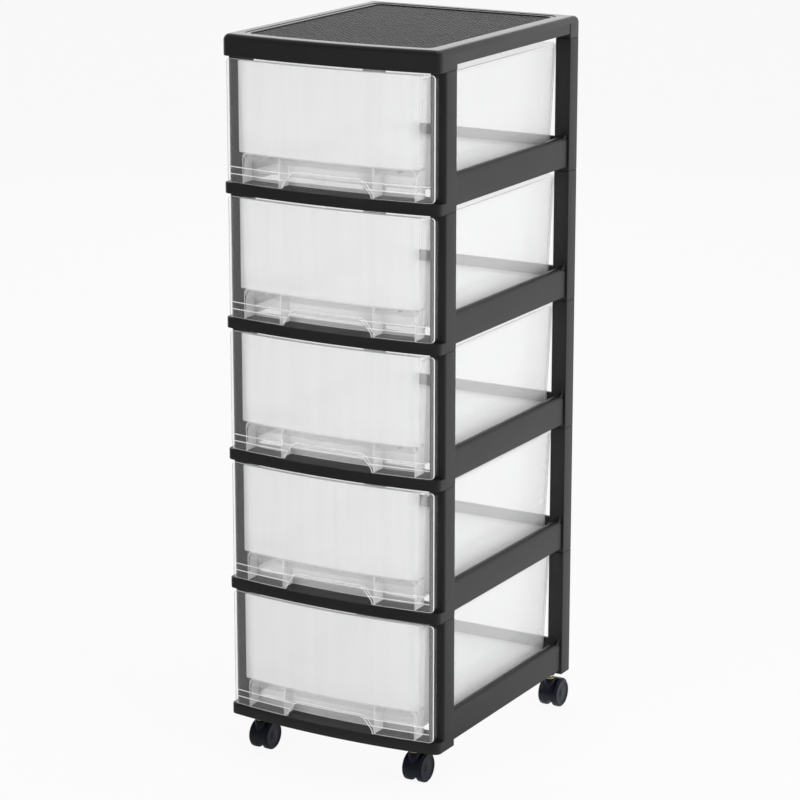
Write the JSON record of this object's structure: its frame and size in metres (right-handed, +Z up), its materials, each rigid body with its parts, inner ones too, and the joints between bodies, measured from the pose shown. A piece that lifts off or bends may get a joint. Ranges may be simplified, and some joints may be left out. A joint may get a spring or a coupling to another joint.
{
  "type": "plastic drawer tower",
  "caption": "Tall stacking drawer tower: dark open frames with a recessed top, clear bowed drawers with finger pulls, and twin-wheel casters.",
  "frame": {"origin": "under the middle of the bounding box, on the floor that the wheels stand on", "axes": "+X is the tower's right seen from the front, the drawers open towards -Y, +Z is up"},
  "size_m": [0.296, 0.364, 0.896],
  "materials": {
    "frame_plastic": "satin moulded polypropylene, anthracite",
    "clear_plastic": "clear, slightly hazy moulded plastic",
    "caster_plastic": "black moulded nylon",
    "stem_metal": "plated steel pin"
  },
  "bodies": {
    "tower": {"top_cover": "frame_plastic", "tier_frame_1": "frame_plastic", "tier_frame_2": "frame_plastic", "tier_frame_3": "frame_plastic", "tier_frame_4": "frame_plastic", "tier_frame_5": "frame_plastic", "caster_stem_front_left": "stem_metal", "caster_stem_front_right": "stem_metal", "caster_stem_rear_left": "stem_metal", "caster_stem_rear_right": "stem_metal"},
    "drawer_1": {"drawer_1": "clear_plastic"},
    "drawer_2": {"drawer_2": "clear_plastic"},
    "drawer_3": {"drawer_3": "clear_plastic"},
    "drawer_4": {"drawer_4": "clear_plastic"},
    "drawer_5": {"drawer_5": "clear_plastic"},
    "caster_front_left": {"caster_hood_front_left": "caster_plastic"},
    "wheels_front_left": {"caster_wheels_front_left": "caster_plastic"},
    "caster_front_right": {"caster_hood_front_right": "caster_plastic"},
    "wheels_front_right": {"caster_wheels_front_right": "caster_plastic"},
    "caster_rear_left": {"caster_hood_rear_left": "caster_plastic"},
    "wheels_rear_left": {"caster_wheels_rear_left": "caster_plastic"},
    "caster_rear_right": {"caster_hood_rear_right": "caster_plastic"},
    "wheels_rear_right": {"caster_wheels_rear_right": "caster_plastic"}
  },
  "joints": [
    {"name": "drawer_1_slide", "type": "slide", "parent": "tower", "child": "drawer_1", "axis": [0, -1, 0], "range_m": [0, 0.28]},
    {"name": "drawer_2_slide", "type": "slide", "parent": "tower", "child": "drawer_2", "axis": [0, -1, 0], "range_m": [0, 0.28]},
    {"name": "drawer_3_slide", "type": "slide", "parent": "tower", "child": "drawer_3", "axis": [0, -1, 0], "range_m": [0, 0.28]},
    {"name": "drawer_4_slide", "type": "slide", "parent": "tower", "child": "drawer_4", "axis": [0, -1, 0], "range_m": [0, 0.28]},
    {"name": "drawer_5_slide", "type": "slide", "parent": "tower", "child": "drawer_5", "axis": [0, -1, 0], "range_m": [0, 0.28]},
    {"name": "caster_front_left_swivel", "type": "hinge", "parent": "tower", "child": "caster_front_left", "pos_m": [-0.11, -0.1615, 0.04], "axis": [0, 0, 1], "continuous": true},
    {"name": "wheels_front_left_spin", "type": "hinge", "parent": "caster_front_left", "child": "wheels_front_left", "pos_m": [-0.11, -0.1515, 0.018], "axis": [1, 0, 0], "continuous": true},
    {"name": "caster_front_right_swivel", "type": "hinge", "parent": "tower", "child": "caster_front_right", "pos_m": [0.11, -0.1615, 0.04], "axis": [0, 0, 1], "continuous": true},
    {"name": "wheels_front_right_spin", "type": "hinge", "parent": "caster_front_right", "child": "wheels_front_right", "pos_m": [0.11, -0.1515, 0.018], "axis": [1, 0, 0], "continuous": true},
    {"name": "caster_rear_left_swivel", "type": "hinge", "parent": "tower", "child": "caster_rear_left", "pos_m": [-0.134, 0.152, 0.04], "axis": [0, 0, 1], "continuous": true},
    {"name": "wheels_rear_left_spin", "type": "hinge", "parent": "caster_rear_left", "child": "wheels_rear_left", "pos_m": [-0.134, 0.162, 0.018], "axis": [1, 0, 0], "continuous": true},
    {"name": "caster_rear_right_swivel", "type": "hinge", "parent": "tower", "child": "caster_rear_right", "pos_m": [0.134, 0.152, 0.04], "axis": [0, 0, 1], "continuous": true},
    {"name": "wheels_rear_right_spin", "type": "hinge", "parent": "caster_rear_right", "child": "wheels_rear_right", "pos_m": [0.134, 0.162, 0.018], "axis": [1, 0, 0], "continuous": true}
  ]
}
